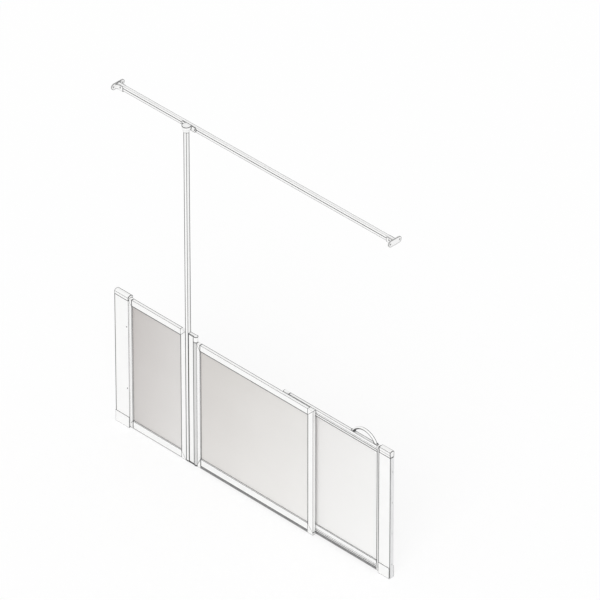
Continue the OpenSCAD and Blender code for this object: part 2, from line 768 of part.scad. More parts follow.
module fixed_right_stile() {
    color(white) difference() {
        right_stile(fixed_panel, glass_groove);
        for (z = through_z) {
            rod_x(post_x0 - bar_wall - 1, post_x0 + 1, 0, z, through_hole);
        }
    }
}

module fixed_top_rail() {
    color(white) top_rail(fixed_panel);
}

module fixed_bottom_rail() {
    color(white) bottom_rail(fixed_panel, false);
}

module fixed_corner_blocks() {
    color(white) difference() {
        corner_blocks(fixed_panel, 0, false, false);
        glazing_space(fixed_panel, glass_bite);
    }
}

module fixed_glass() {
    color(glass_grey) glazing(fixed_panel, glass_bite);
}

module fixed_gasket() {
    color(rubber_grey) gasket(fixed_panel, glass_bite);
}

// Outline of the post in X and Y, with rounded edges
module post_outline() {
    r = 2;
    hx = post_w / 2;
    hy = post_d / 2;
    polygon(concat(arc(hx - r, hy - r, r, 0, 90), arc(-hx + r, hy - r, r, 90, 180),
        arc(-hx + r, -hy + r, r, 180, 270), arc(hx - r, -hy + r, r, 270, 360)));
}

module support_post() {
    color(white) difference() {
        translate([post_mid, 0, foot_t]) linear_extrude(post_top - foot_t) post_outline();
        box(post_x0 + post_wall, post_x1 - post_wall, -post_d / 2 + post_wall, post_d / 2 - post_wall,
            foot_t - 1, post_top + 1);
        for (z = through_z) {
            rod_x(post_x0 - 1, post_x1 + 1, 0, z, through_hole);
        }
    }
}

module post_foot() {
    gap = post_wall + leg_clear;
    color(soft_white) union() {
        linear_extrude(foot_t) translate([post_mid, 0]) post_outline();
        box(post_x0 + gap, post_x1 - gap, -post_d / 2 + gap, post_d / 2 - gap,
            foot_t - eps, foot_t + foot_plug);
    }
}

// The bracket that joins the post to the front of the rail: a tapered cup over the post and a flange
module post_rail_bracket() {
    fit = rail_fit;
    cup_z0 = rail_z0 - post_cap_drop;
    cup_h = rail_top - cup_z0;
    color(white) difference() {
        union() {
            translate([post_mid, 0, cup_z0]) rotate_extrude() polygon([
                [0, 0], [post_cap_low_r, 0], [post_cap_r, post_cap_taper], [post_cap_r, cup_h], [0, cup_h]]);
            translate([post_mid, rail_y0, rail_zc]) rotate([90, 0, 0])
                linear_extrude(post_flange_t) saddle_outline(post_flange_l, rail_h);
        }
        box(post_mid - post_cap_r - 1, post_mid + post_cap_r + 1, rail_y0, rail_y0 + post_cap_r,
            cup_z0 - 1, rail_top + 1);
        box(post_x0 - fit, post_x1 + fit, -post_d / 2 - fit, post_d / 2 + fit, 0, post_top);
        for (x = post_screw_x) {
            rod_y(x, rail_y0 - post_flange_t - 1, rail_y0 + 1, rail_zc, shank_hole);
        }
    }
}

module post_bracket_screws() {
    color(steel) for (x = post_screw_x) {
        screw_y(x, rail_y0 - post_flange_t, rail_zc, 1, post_flange_t + rail_front + screw_bite);
    }
}

module post_through_screws() {
    x_head = jamb_wall_x();
    color(steel) for (z = through_z) {
        rod_x(x_head, x_head + through_head_h, 0, z, through_head_r);
        rod_x(x_head - through_l, x_head + eps, 0, z, through_r);
    }
}

module curtain_rail() {
    r = 2;
    x0 = bracket_t;
    x1 = alcove_w - bracket_t;
    groove_z = rail_zc + 1;
    color(white) difference() {
        prism_yz(round_rect(rail_y0, rail_y1, rail_z0, rail_top, r), x0, x1);
        box(x0 - 1, x1 + 1, rail_y0 + rail_front, rail_y1 - rail_wall,
            rail_z0 + rail_wall, rail_top - rail_wall);
        box(x0 - 1, x1 + 1, rail_y0 - 1, rail_y0 + rail_groove_d,
            groove_z - rail_groove_h / 2, groove_z + rail_groove_h / 2);
        for (x = post_screw_x) {
            rod_y(x, rail_y0 - 1, rail_yc, rail_zc, shank_hole);
        }
    }
}

// A wall bracket: a flange on the wall and an open cradle in which the end of the rail rests
module rail_bracket() {
    y0 = rail_y0 - socket_wall;
    y1 = rail_y1 + socket_wall;
    z0 = rail_z0 - socket_wall;
    z1 = rail_top - cradle_drop;
    r = 2;
    difference() {
        union() {
            translate([0, rail_yc, rail_zc]) rotate([90, 0, 90]) linear_extrude(bracket_t)
                saddle_outline(bracket_l, bracket_h);
            prism_yz(concat([[y1, z1], [y0, z1]], arc(y0 + r, z0 + r, r, 180, 270),
                arc(y1 - r, z0 + r, r, 270, 360)), 0, bracket_reach);
            for (s = [-1, 1]) {
                gusset(s < 0 ? y0 : y1, s, z0 + socket_wall, z1 - cradle_drop);
            }
        }
        box(bracket_t, bracket_reach + 1, rail_y0 - rail_fit, rail_y1 + rail_fit, rail_z0, rail_top + 1);
        for (s = [-1, 1]) {
            rod_x(-1, bracket_t + 1, rail_yc + s * bracket_pitch / 2, rail_zc, fixing_r);
        }
        rod_y(grub_x, y0 - 1, rail_y0, rail_zc, grub_r + grub_fit);
    }
}

// A hollow-curved wedge between the flange and the side of the cradle at y, on the side s
module gusset(y, s, z0, z1) {
    translate([0, 0, z0]) linear_extrude(z1 - z0) polygon(concat(
        [[bracket_t + gusset_r, y - s * eps], [bracket_t - eps, y - s * eps],
            [bracket_t - eps, y + s * gusset_r]],
        [for (a = [0:15:90]) [bracket_t + gusset_r * (1 - cos(a)), y + s * gusset_r * (1 - sin(a))]]));
}

module rail_bracket_left() {
    color(white) rail_bracket();
}

module rail_bracket_right() {
    color(white) translate([alcove_w, 0, 0]) mirror([1, 0, 0]) rail_bracket();
}

module grub_screw() {
    y0 = rail_y0 - socket_wall - 0.5;
    socket_d = 1.6;
    socket_r = 1.3;
    difference() {
        rod_y(grub_x, y0, rail_y0 - eps, rail_zc, grub_r);
        translate([grub_x, y0 + socket_d, rail_zc]) rotate([90, 0, 0])
            cylinder(h = socket_d + 1, r = socket_r, $fn = 6);
    }
}

module rail_grub_screws() {
    color(steel) grub_screw();
    color(steel) translate([alcove_w, 0, 0]) mirror([1, 0, 0]) grub_screw();
}

module hinge_jamb() {
    seat_r = barrel_r + seat_clear;
    wall_in = half_d - profile_wall;
    color(white) difference() {
        box(post_x1, jamb_x1, -half_d, half_d, pivot_h, jamb_top);
        rod(axis_x, 0, pivot_h - 1, jamb_top + 1, seat_r);
        box(jamb_wall_x(), axis_x - seat_r - profile_wall, -wall_in, wall_in, pivot_h - 1, jamb_top + 1);
        for (z = through_z) {
            rod_x(post_x1 - 1, jamb_wall_x() + 1, 0, z, through_hole);
        }
    }
}

// The shape in X and Y that covers the end of the jamb and of the round door edge
module hinge_plate(z0, z1) {
    box(post_x1, axis_x, -half_d, half_d, z0, z1);
    rod(axis_x, 0, z0, z1, barrel_r);
}

module jamb_plug(z0, z1) {
    wall_in = half_d - profile_wall - leg_clear;
    box(jamb_wall_x() + leg_clear, axis_x - barrel_r - seat_clear - profile_wall - leg_clear,
        -wall_in, wall_in, z0, z1);
}

module top_hinge_bearing() {
    color(white) difference() {
        union() {
            hinge_plate(jamb_top, jamb_top + bearing_plate);
            rod(axis_x, 0, door_h, jamb_top + eps, barrel_r);
            jamb_plug(jamb_top - 14, jamb_top + eps);
        }
        rod(axis_x, 0, door_h - 1, door_h + pin_reach, pin_r + pin_seat);
    }
}

module bottom_pivot_block() {
    color(dark) difference() {
        union() {
            hinge_plate(0, pivot_h);
            jamb_plug(pivot_h - eps, pivot_h + 14);
        }
        rod(axis_x, 0, pin_base, pivot_h + 1, pin_r + pin_seat);
    }
}

module hinge_pins() {
    color(steel) rod(axis_x, 0, pin_base, pivot_h + hinge_play + pin_reach, pin_r);
    color(steel) rod(axis_x, 0, door_h - hinge_play - pin_reach, door_h + pin_reach, pin_r);
}

module right_wall_channel() {
    color(soft_white)
        wall_channel(alcove_w, -1, slider_yc, strike_d - 2 * (profile_wall + channel_clear),
            right_channel_h);
}

module strike_profile() {
    y0 = slider_yc - strike_d / 2;
    y1 = slider_yc + strike_d / 2;
    z0 = profile_z0;
    face_t = profile_wall + strike_magnet_d;
    color(white) difference() {
        union() {
            box(strike_x0, alcove_w - wall_gap, y0, y1, z0, strike_top);
            box(strike_x0 - stop_lip, strike_x0 + eps, y1 - stop_t, y1, z0, strike_top);
        }
        box(strike_x0 + face_t, alcove_w, y0 + profile_wall, y1 - profile_wall, z0 - 1, strike_top + 1);
        box(strike_x0 - eps, strike_x0 + strike_magnet_d, slider_yc - strike_magnet_w / 2,
            slider_yc + strike_magnet_w / 2, z0 - 1, strike_top + 1);
        for (z = channel_screw_z(right_channel_h)) {
            rod_y(alcove_w - channel_screw_x, slider_yc, y1 + 1, z, shank_hole);
        }
    }
}

module right_profile_cap() {
    y0 = slider_yc - strike_d / 2;
    y1 = slider_yc + strike_d / 2;
    step = 0.8;
    mid_z = strike_top + strike_cap_h / 2;
    in = profile_wall + channel_clear;
    color(white) union() {
        box(strike_x0, alcove_w - wall_gap, y0, y1, strike_top, mid_z);
        prism_yz([for (q = concat([[y1 + step, mid_z - eps]],
            ellipse_arc(slider_yc, strike_h, strike_d / 2 + step, strike_crown, 16),
            [[y0 - step, mid_z - eps]])) q], strike_x0, alcove_w - wall_gap);
        box(strike_x0 + profile_wall + strike_magnet_d + channel_clear, strike_x0 + strike_w * 0.35,
            y0 + in, y1 - in, strike_top - 12, strike_top + eps);
    }
}

module right_bottom_cover() {
    out = strike_d / 2 + strike_proud;
    in = strike_d / 2 + cover_clear;
    color(white) union() {
        difference() {
            foot_cover_outline(strike_x0, alcove_w - wall_gap, slider_yc - out, slider_yc + out, true);
            box(strike_x0 - 1, alcove_w, slider_yc - in, slider_yc + in, -1, cover_h + 1);
        }
        box(strike_x0 + plug_gap, alcove_w - channel_w - plug_gap,
            slider_yc - in - eps, slider_yc + in + eps, 0, cover_floor);
    }
}

module strike_magnet() {
    z0 = profile_z0;
    side = strike_magnet_w / 2 - strip_clear;
    color(seal_grey) box(strike_x0, strike_x0 + strike_magnet_d, slider_yc - side, slider_yc + side,
        z0, strike_top);
}

module right_channel_screws() {
    color(steel) for (z = channel_screw_z(right_channel_h)) {
        screw_y(alcove_w - channel_screw_x, slider_yc + strike_d / 2, z, -1, channel_screw_l);
    }
}

module door_hinge_stile() {
    neck = half_d - 3;
    color(white) difference() {
        union() {
            left_stile(door_panel);
            rod(axis_x, 0, barrel_z0, barrel_z1, barrel_r);
            box(axis_x + barrel_r - 2, door_flat_x + 1, -neck, neck, rail_z + 3, barrel_z1 - 2);
        }
        rod(axis_x, 0, barrel_z0 - 1, barrel_z1 + 1, barrel_r - barrel_wall);
    }
}

module door_meeting_stile() {
    color(white) difference() {
        right_stile(door_panel, glass_groove);
        for (z = shoe_z) {
            shoe_socket(door_shoe_x, z, half_d, 1);
        }
    }
}

module door_top_rail() {
    color(white) top_rail(door_panel);
}

module door_bottom_rail() {
    color(white) bottom_rail(door_panel, true);
}

module door_corner_blocks() {
    color(white) difference() {
        corner_blocks(door_panel, rail_z - block_gap, true, false);
        glazing_space(door_panel, glass_bite);
        for (z = shoe_z) {
            shoe_socket(door_shoe_x, z, half_d, 1);
        }
    }
}

module door_glass() {
    color(glass_grey) glazing(door_panel, glass_bite);
}

module door_gasket() {
    color(rubber_grey) gasket(door_panel, glass_bite);
}

module door_bottom_seal() {
    color(seal_grey) bottom_seal(door_panel);
}

// A flexible fin on the back of the meeting upright that wipes the sliding glazing
module door_wiper_seal() {
    x = door_gx1 + frame_w * 0.3;
    tip = slider_yc - glass_t / 2 - 0.4;
    z0 = door_gz0 + gasket_show + 3;
    z1 = door_gz1 - gasket_show - 3;
    color(seal_grey) translate([0, 0, z0]) linear_extrude(z1 - z0)
        polygon([[x - 4, half_d], [x + 4, half_d], [x + 4, half_d + 1.5], [x + 1, half_d + 3],
            [x + 0.6, tip], [x - 0.6, tip], [x - 1, half_d + 3], [x - 4, half_d + 1.5]]);
}

module door_guide_shoes() {
    color(soft_white) for (z = shoe_z) {
        guide_shoe(door_shoe_x, z, half_d, 1);
    }
}

// A flanged bush in one end of the round door edge; dir points out of the end
module hinge_bush(z_end, dir) {
    r_out = barrel_r - barrel_wall - 0.02;
    difference() {
        union() {
            rod(axis_x, 0, min(z_end, z_end + dir * bush_flange), max(z_end, z_end + dir * bush_flange),
                barrel_r - 1);
            rod(axis_x, 0, min(z_end - dir * bush_l, z_end + dir * eps),
                max(z_end - dir * bush_l, z_end + dir * eps), r_out);
        }
        rod(axis_x, 0, z_end - bush_l - 2, z_end + bush_l + 2, pin_r + pin_clear);
    }
}

module hinge_bushes() {
    color(soft_white) hinge_bush(barrel_z0, -1);
    color(soft_white) hinge_bush(barrel_z1, 1);
}

module slider_left_stile() {
    color(white) difference() {
        left_stile(slider_panel);
        for (z = shoe_z) {
            shoe_socket(slider_shoe_x, z, slider_y0, -1);
        }
    }
}

module slider_closing_stile() {
    color(white) right_stile(slider_panel, closing_groove);
}

module handle_screw_holes() {
    for (x = handle_screw_x) {
        rod(x, slider_yc, door_h - handle_screw_l, door_h + 1, shank_hole);
    }
}

module slider_top_rail() {
    color(white) difference() {
        top_rail(slider_panel);
        handle_screw_holes();
    }
}

module slider_bottom_rail() {
    color(white) bottom_rail(slider_panel, true);
}

module slider_corner_blocks() {
    color(white) difference() {
        corner_blocks(slider_panel, rail_z - block_gap, true, true);
        glazing_space(slider_panel, closing_bite);
        for (z = shoe_z) {
            shoe_socket(slider_shoe_x, z, slider_y0, -1);
        }
        handle_screw_holes();
    }
}

module slider_glass() {
    color(glass_grey) glazing(slider_panel, closing_bite);
}

module slider_gasket() {
    color(rubber_grey) gasket(slider_panel, closing_bite);
}

module slider_bottom_seal() {
    color(seal_grey) bottom_seal(slider_panel);
}

// The magnetic strip along the closing edge, with a rounded nose
module slider_magnet() {
    x0 = slider_x1 - magnet_w;
    hd = slider_d / 2 - 1;
    r = 3;
    color(seal_grey) translate([0, 0, block_gap]) linear_extrude(door_h - block_gap - 2)
        polygon(concat([[x0, slider_yc + hd], [x0, slider_yc - hd]],
            arc(slider_x1 - r, slider_yc - hd + r, r, 270, 360),
            arc(slider_x1 - r, slider_yc + hd - r, r, 0, 90)));
}

module slider_guide_shoes() {
    color(soft_white) for (z = shoe_z) {
        guide_shoe(slider_shoe_x, z, slider_y0, -1);
    }
}

// A handle foot, round at the end of the handle; x is that end and dir points towards the bow
module handle_foot(x, dir) {
    r = handle_d / 2;
    mid = x + dir * r;
    rod(mid, slider_yc, door_h, door_h + handle_foot_t, r);
    box(min(mid, x + dir * foot_l), max(mid, x + dir * foot_l), slider_yc - r, slider_yc + r,
        door_h, door_h + handle_foot_t);
}

module slider_handle() {
    mid = (handle_x0 + handle_x1) / 2;
    color(white) difference() {
        union() {
            handle_foot(handle_x0, 1);
            handle_foot(handle_x1, -1);
            intersection() {
                translate([mid, slider_yc, door_h + bow_rise - bow_r]) rotate([90, 0, 0])
                    rotate_extrude() translate([bow_r, 0]) circle(r = handle_t / 2);
                box(handle_x0, handle_x1, slider_yc - handle_t, slider_yc + handle_t,
                    door_h, door_h + handle_rise + 1);
            }
        }
        for (x = handle_screw_x) {
            rod(x, slider_yc, door_h - 1, door_h + handle_foot_t + 1, shank_hole);
            rod(x, slider_yc, door_h + handle_foot_t - head_h, door_h + handle_foot_t + 1,
                head_r + head_clear);
        }
    }
}

module handle_screws() {
    z = door_h + handle_foot_t - head_h;
    color(steel) for (x = handle_screw_x) {
        rod(x, slider_yc, z, z + head_h, head_r);
        rod(x, slider_yc, z - handle_screw_l, z + eps, shank_r);
    }
}

left_wall_channel();
left_infill_profile();
left_profile_cap();
left_bottom_cover();
left_profile_screws();
left_channel_screws();
fixed_left_stile();
fixed_right_stile();
fixed_top_rail();
fixed_bottom_rail();
fixed_corner_blocks();
fixed_glass();
fixed_gasket();
support_post();
post_foot();
post_rail_bracket();
post_bracket_screws();
post_through_screws();
curtain_rail();
rail_bracket_left();
rail_bracket_right();
rail_grub_screws();
hinge_jamb();
top_hinge_bearing();
bottom_pivot_block();
hinge_pins();
right_wall_channel();
strike_profile();
right_profile_cap();
right_bottom_cover();
strike_magnet();
right_channel_screws();
door_hinge_stile();
door_meeting_stile();
door_top_rail();
door_bottom_rail();
door_corner_blocks();
door_glass();
door_gasket();
door_bottom_seal();
door_wiper_seal();
door_guide_shoes();
hinge_bushes();
slider_left_stile();
slider_closing_stile();
slider_top_rail();
slider_bottom_rail();
slider_corner_blocks();
slider_glass();
slider_gasket();
slider_bottom_seal();
slider_magnet();
slider_guide_shoes();
slider_handle();
handle_screws();
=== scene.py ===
# Looks of the half-height shower screen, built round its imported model.
import json
import math

import bmesh
import bpy
from mathutils import Matrix, Vector


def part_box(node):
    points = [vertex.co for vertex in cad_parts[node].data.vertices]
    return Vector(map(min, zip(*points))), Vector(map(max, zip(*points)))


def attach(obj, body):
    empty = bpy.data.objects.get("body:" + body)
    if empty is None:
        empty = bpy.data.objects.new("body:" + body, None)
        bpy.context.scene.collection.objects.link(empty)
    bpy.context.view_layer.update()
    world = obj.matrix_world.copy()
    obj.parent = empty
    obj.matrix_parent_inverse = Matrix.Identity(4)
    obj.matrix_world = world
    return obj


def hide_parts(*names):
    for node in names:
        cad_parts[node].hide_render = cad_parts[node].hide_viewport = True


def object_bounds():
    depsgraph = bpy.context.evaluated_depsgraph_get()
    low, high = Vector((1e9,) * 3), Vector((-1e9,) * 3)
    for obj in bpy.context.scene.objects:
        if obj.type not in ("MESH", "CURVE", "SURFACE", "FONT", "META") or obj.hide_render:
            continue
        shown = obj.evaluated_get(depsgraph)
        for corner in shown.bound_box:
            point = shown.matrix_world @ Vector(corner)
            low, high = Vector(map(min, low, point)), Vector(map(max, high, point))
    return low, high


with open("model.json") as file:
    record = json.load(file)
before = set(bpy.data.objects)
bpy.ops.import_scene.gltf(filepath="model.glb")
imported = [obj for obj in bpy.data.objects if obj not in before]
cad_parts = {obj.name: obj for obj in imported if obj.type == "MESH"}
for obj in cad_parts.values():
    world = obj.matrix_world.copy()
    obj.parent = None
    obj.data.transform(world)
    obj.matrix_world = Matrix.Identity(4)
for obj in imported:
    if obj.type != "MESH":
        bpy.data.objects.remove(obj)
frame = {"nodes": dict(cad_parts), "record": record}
cad_low, cad_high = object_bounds()
record = frame["record"]
body_of = {n: b for b, members in record["behaviour"]["bodies"].items() for n in members}
slot_of = {part["node"]: part["material_slot"] for part in record["subparts"]}
MM = 0.001
WHITE = (1.0, 1.0, 1.0, 1.0)


def new_object(name, data):
    """A new object in the scene."""
    obj = bpy.data.objects.new(name, data)
    bpy.context.scene.collection.objects.link(obj)
    return obj


# Camera: the drawing's isometric view
CAMERA_TARGET = Vector((1.2376, -0.009, 1.3138))
CAMERA_BACK = Vector((1, -1, 1)).normalized()
CAMERA_DISTANCE = 42.56
CAMERA_LENS = 552.96
CAMERA_SENSOR = 36.0
CAMERA_NEAR, CAMERA_FAR = 1.0, 200.0


def make_camera():
    data = bpy.data.cameras.new("camera")
    data.sensor_width = CAMERA_SENSOR
    data.lens = CAMERA_LENS
    data.clip_start = CAMERA_NEAR
    data.clip_end = CAMERA_FAR
    camera = new_object("camera", data)
    camera.location = CAMERA_TARGET + CAMERA_BACK * CAMERA_DISTANCE
    camera.rotation_euler = (-CAMERA_BACK).to_track_quat("-Z", "Y").to_euler()
    bpy.context.scene.camera = camera


# Light and floor
SKY_STRENGTH = 0.8
SUN_STRENGTH = 0.85
SUN_ANGLE = 40
SUN_TOWARDS = Vector((0.42, -0.68, 0.6)).normalized()
FLOOR_SIZE = 120.0
FLOOR_DROP = 0.5 * MM
FLOOR_LIT = (0.95, 0.95, 0.95, 1)
FLOOR_SEEN = (0.3, 0.3, 0.3, 1)
FLOOR_GLOW = 0.705


def two_faced(tree, out, light, seen):
    """One shader lights the object; the other shows to the camera, in gloss and through glass."""
    path = tree.nodes.new("ShaderNodeLightPath")
    total = path.outputs["Is Camera Ray"]
    for name in ("Is Glossy Ray", "Is Transmission Ray"):
        most = tree.nodes.new("ShaderNodeMath")
        most.operation = "MAXIMUM"
        tree.links.new(total, most.inputs[0])
        tree.links.new(path.outputs[name], most.inputs[1])
        total = most.outputs[0]
    mix = tree.nodes.new("ShaderNodeMixShader")
    tree.links.new(total, mix.inputs[0])
    tree.links.new(light.outputs[0], mix.inputs[1])
    tree.links.new(seen.outputs[0], mix.inputs[2])
    tree.links.new(mix.outputs[0], out.inputs["Surface"])


def make_world():
    scene = bpy.context.scene
    scene.view_settings.view_transform = "Standard"
    world = bpy.data.worlds.new("studio")
    scene.world = world
    world.use_nodes = True
    tree = world.node_tree
    light = tree.nodes["Background"]
    light.inputs["Color"].default_value = WHITE
    light.inputs["Strength"].default_value = SKY_STRENGTH
    seen = tree.nodes.new("ShaderNodeBackground")
    seen.inputs["Color"].default_value = WHITE
    seen.inputs["Strength"].default_value = 1.0
    two_faced(tree, tree.nodes["World Output"], light, seen)


def make_sun():
    data = bpy.data.lights.new("key_light", "SUN")
    data.energy = SUN_STRENGTH
    data.angle = math.radians(SUN_ANGLE)
    sun = new_object("key_light", data)
    sun.rotation_euler = SUN_TOWARDS.to_track_quat("Z", "Y").to_euler()


def make_floor():
    """A pale floor, white to the camera where nothing shades it, that keeps the shadow."""
    half = FLOOR_SIZE / 2
    corners = [(-half, -half, 0), (half, -half, 0), (half, half, 0), (-half, half, 0)]
    mesh = bpy.data.meshes.new("floor")
    mesh.from_pydata(corners, [], [(0, 1, 2, 3)])
    floor = new_object("floor", mesh)
    floor.location = (0, 0, cad_low.z - FLOOR_DROP)
    mat = bpy.data.materials.new("floor_white")
    mat.use_nodes = True
    tree = mat.node_tree
    tree.nodes.remove(tree.nodes["Principled BSDF"])
    lit = tree.nodes.new("ShaderNodeBsdfDiffuse")
    lit.inputs["Color"].default_value = FLOOR_LIT
    shaded = tree.nodes.new("ShaderNodeBsdfDiffuse")
    shaded.inputs["Color"].default_value = FLOOR_SEEN
    glow = tree.nodes.new("ShaderNodeEmission")
    glow.inputs["Strength"].default_value = FLOOR_GLOW
    both = tree.nodes.new("ShaderNodeAddShader")
    tree.links.new(shaded.outputs[0], both.inputs[0])
    tree.links.new(glow.outputs[0], both.inputs[1])
    two_faced(tree, tree.nodes["Material Output"], lit, both)
    mesh.materials.append(mat)


make_camera()
make_world()
make_sun()
make_floor()


# Materials
def rgb(r, g, b):
    """Linear colour of an sRGB one given in 0 to 255."""
    def channel(v):
        v = v / 255
        return v / 12.92 if v <= 0.04045 else ((v + 0.055) / 1.055) ** 2.4
    return (channel(r), channel(g), channel(b), 1.0)


def grey(value):
    return (value, value, value, 1)


WHITE_LOW = (0.905, 0.905, 0.9, 1.0)
WHITE_HIGH = (0.925, 0.925, 0.92, 1.0)
# grey of the seams and of the painted shade; the darker one serves the curtain rail's seams and
# the painted shade in its groove
LINE_AND_SHADE_GREY = rgb(56, 56, 57)
LINE_AND_SHADE_DARK = rgb(22, 22, 23)

# how far from an edge its seam reaches
LINE_RADIUS = 3.2 * MM
BAR_RADIUS = 1.3 * MM
THICK_RADIUS = 6.0 * MM
# bend of the surface at which a seam starts and at which it is full
BEND_USUAL = (0.005, 0.028)
BEND_THICK = (0.004, 0.02)
BEVEL_SAMPLES = 16
MASK_SOFTNESS = 0.06

# scale of the uneven skin, lowest and highest roughness
POWDER_SKIN = (1100.0, 0.38, 0.5)
MOULDED_SKIN = (420.0, 0.26, 0.36)
BOW_SKIN = (420.0, 0.28, 0.38)

# the values between which most of a noise lies
MOST = (0.35, 0.65)
NEARLY_ALL = (0.3, 0.7)

CROWNS = ("left_profile_cap", "right_profile_cap")
RAIL_BRACKETS = ("rail_bracket_left", "rail_bracket_right")
# slope to the back on a rounded top: where its painted shade starts and where it ends
CROWN_START = (0.25, 0.32)
CROWN_END = (0.92, 0.85)
# painted shade on the door's round hinge edge: how far past the bushes it reaches, and how grey it
# is
ROUND_EDGE_MARGIN = 2 * MM
ROUND_EDGE_SHADE = 0.3
RAIL_BRACKET_TONE = 0.75

# how far a sheet's grey fades across and down, how unevenly, and the tone of its speckle
FADE_ACROSS, FADE_DOWN = 0.62, 0.38
FADE_UNEVEN = 0.04
SPECKLE = 0.12

# from the end of a handle's foot to the end of its bow's middle line
FOOT_OUT = 14 * MM

# widths of the seams along a bar's edges: slim, broad, and at its back
USUAL_SEAM = (1.4 * MM, 4.2 * MM, 4.2 * MM)
SEAM_OF_BAR = {
    "support_post": (1.7 * MM, 5.2 * MM, 5.2 * MM),
    "curtain_rail": (0.9 * MM, 3.0 * MM, 3.0 * MM),
    "door_meeting_stile": (1.4 * MM, 4.2 * MM, 1.4 * MM),
    "hinge_jamb": (2.8 * MM, 4.2 * MM, 4.2 * MM),
}
# painted shade: a grey strip along a node's front; height from its middle, half width and depth
SHADE_STRIP_OF = {
    "curtain_rail": (1.0 * MM, 1.1 * MM, 1.4 * MM),
    "left_profile_cap": (9.5 * MM, 0.9 * MM, 6.5 * MM),
    "slider_top_rail": (-0.85 * MM, 5.8 * MM, 0.3 * MM),
    "slider_bottom_rail": (-7.0 * MM, 5.8 * MM, 0.3 * MM),
}


class Shader:
    """A material's node tree with short ways to add and link nodes."""

    def __init__(self, name):
        self.mat = bpy.data.materials.new(name)
        self.mat.use_nodes = True
        self.tree = self.mat.node_tree
        self.bsdf = self.tree.nodes["Principled BSDF"]
        coords = self.tree.nodes.new("ShaderNodeTexCoord")
        self.place = coords.outputs["Object"]
        self.facing = coords.outputs["Normal"]

    def feed(self, socket, source):
        """Links an output to the socket, or sets a constant on it."""
        if hasattr(source, "links"):
            self.tree.links.new(source, socket)
        else:
            socket.default_value = source

    def add(self, kind, links=(), **values):
        node = self.tree.nodes.new(kind)
        for key, value in values.items():
            setattr(node, key, value)
        for socket, source in dict(links).items():
            self.feed(node.inputs[socket], source)
        return node

    def set(self, **values):
        for name, value in values.items():
            self.feed(self.bsdf.inputs[name.replace("_", " ")], value)

    def noise(self, scale, detail, vector=None):
        node = self.add("ShaderNodeTexNoise",
                        {"Vector": vector or self.place, "Scale": scale, "Detail": detail})
        return node.outputs["Fac"]

    def remap(self, value, span, result=(0.0, 1.0)):
        """The value, carried from one span to another and held within it."""
        node = self.add("ShaderNodeMapRange",
                        {"Value": value, "From Min": span[0], "From Max": span[1],
                         "To Min": result[0], "To Max": result[1]})
        return node.outputs["Result"]

    def mix(self, factor, first, second):
        node = self.add("ShaderNodeMix", {0: factor, 6: first, 7: second}, data_type="RGBA")
        return node.outputs[2]

    def math(self, operation, first, second=0.0):
        node = self.add("ShaderNodeMath", {0: first, 1: second}, operation=operation)
        return node.outputs[0]

    def most(self, first, second):
        return self.math("MAXIMUM", first, second)

    def least(self, first, second):
        return self.math("MINIMUM", first, second)

    def vector(self, operation, first, second=(0, 0, 0)):
        """A number for a dot product or a length, and otherwise a vector."""
        node = self.add("ShaderNodeVectorMath", {0: first, 1: second}, operation=operation)
        return node.outputs["Value" if operation in ("DOT_PRODUCT", "LENGTH") else "Vector"]

    def split(self, vector):
        return self.add("ShaderNodeSeparateXYZ", {0: vector}).outputs

    def bump(self, height, strength, distance):
        node = self.add("ShaderNodeBump",
                        {"Height": height, "Strength": strength, "Distance": distance})
        self.set(Normal=node.outputs["Normal"])

    def near(self, distance, width):
        """1 closer than the width and 0 farther away, with a soft step between."""
        return self.remap(distance, (width * (1 + MASK_SOFTNESS), width * (1 - MASK_SOFTNESS)))

    def edges(self, radius, bend=BEND_USUAL):
        """1 on a sharp edge, falling to 0 at the radius from it."""
        bevel = self.add("ShaderNodeBevel", {"Radius": radius}, samples=BEVEL_SAMPLES)
        flat = self.add("ShaderNodeNewGeometry")
        same = self.vector("DOT_PRODUCT", bevel.outputs["Normal"], flat.outputs["True Normal"])
        return self.remap(same, (1 - bend[0], 1 - bend[1]))

    def outline(self, node, slim, broad, back):
        """1 near a bar's edges: close to two sides of its box at once.

        The edges at its left and underside are broad, those at its back have their own
        width, and the others are slim.
        """
        low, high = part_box(node)
        place = self.split(self.place)
        narrow, wide, outer = [], [], []
        outer_width = (broad, back, broad)
        for k, axis in enumerate("XYZ"):
            from_low = self.math("SUBTRACT", place[axis], low[k])
            from_high = self.math("SUBTRACT", high[k], place[axis])
            either = self.least(from_low, from_high)
            narrow.append(self.near(either, slim))
            wide.append(self.near(either, broad))
            outer.append(self.near(from_high if axis == "Y" else from_low, outer_width[k]))
        mask = 0.0
        for i, j in ((0, 1), (1, 2), (0, 2)):
            for pair in ((narrow[i], narrow[j]), (outer[i], wide[j]), (wide[i], outer[j])):
                mask = self.most(mask, self.least(*pair))
        return mask

    def strip(self, node, rise, half, depth):
        """1 on a strip along a bar's front, where shade is painted."""
        low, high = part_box(node)
        place = self.split(self.place)
        off = self.math("ABSOLUTE", self.math("SUBTRACT", place["Z"], (low.z + high.z) / 2 + rise))
        inset = self.math("SUBTRACT", place["Y"], low.y)
        return self.least(self.near(off, half), self.near(inset, depth))

    def crown_back_shade(self):
        """1 on the part of a rounded top that slopes to the back, where shade is painted."""
        slope = self.split(self.facing)["Y"]
        return self.least(self.remap(slope, CROWN_START), self.remap(slope, CROWN_END))

    def round_edge_shade(self):
        """A faint painted shade on the round hinge edge of the door."""
        low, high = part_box("hinge_bushes")
        middle = ((low.x + high.x) / 2, (low.y + high.y) / 2, 0)
        flat = self.vector("MULTIPLY", self.place, (1, 1, 0))
        away = self.vector("LENGTH", self.vector("SUBTRACT", flat, middle))
        reach = (high.x - low.x) / 2 + ROUND_EDGE_MARGIN
        return self.math("MULTIPLY", self.near(away, reach), ROUND_EDGE_SHADE)

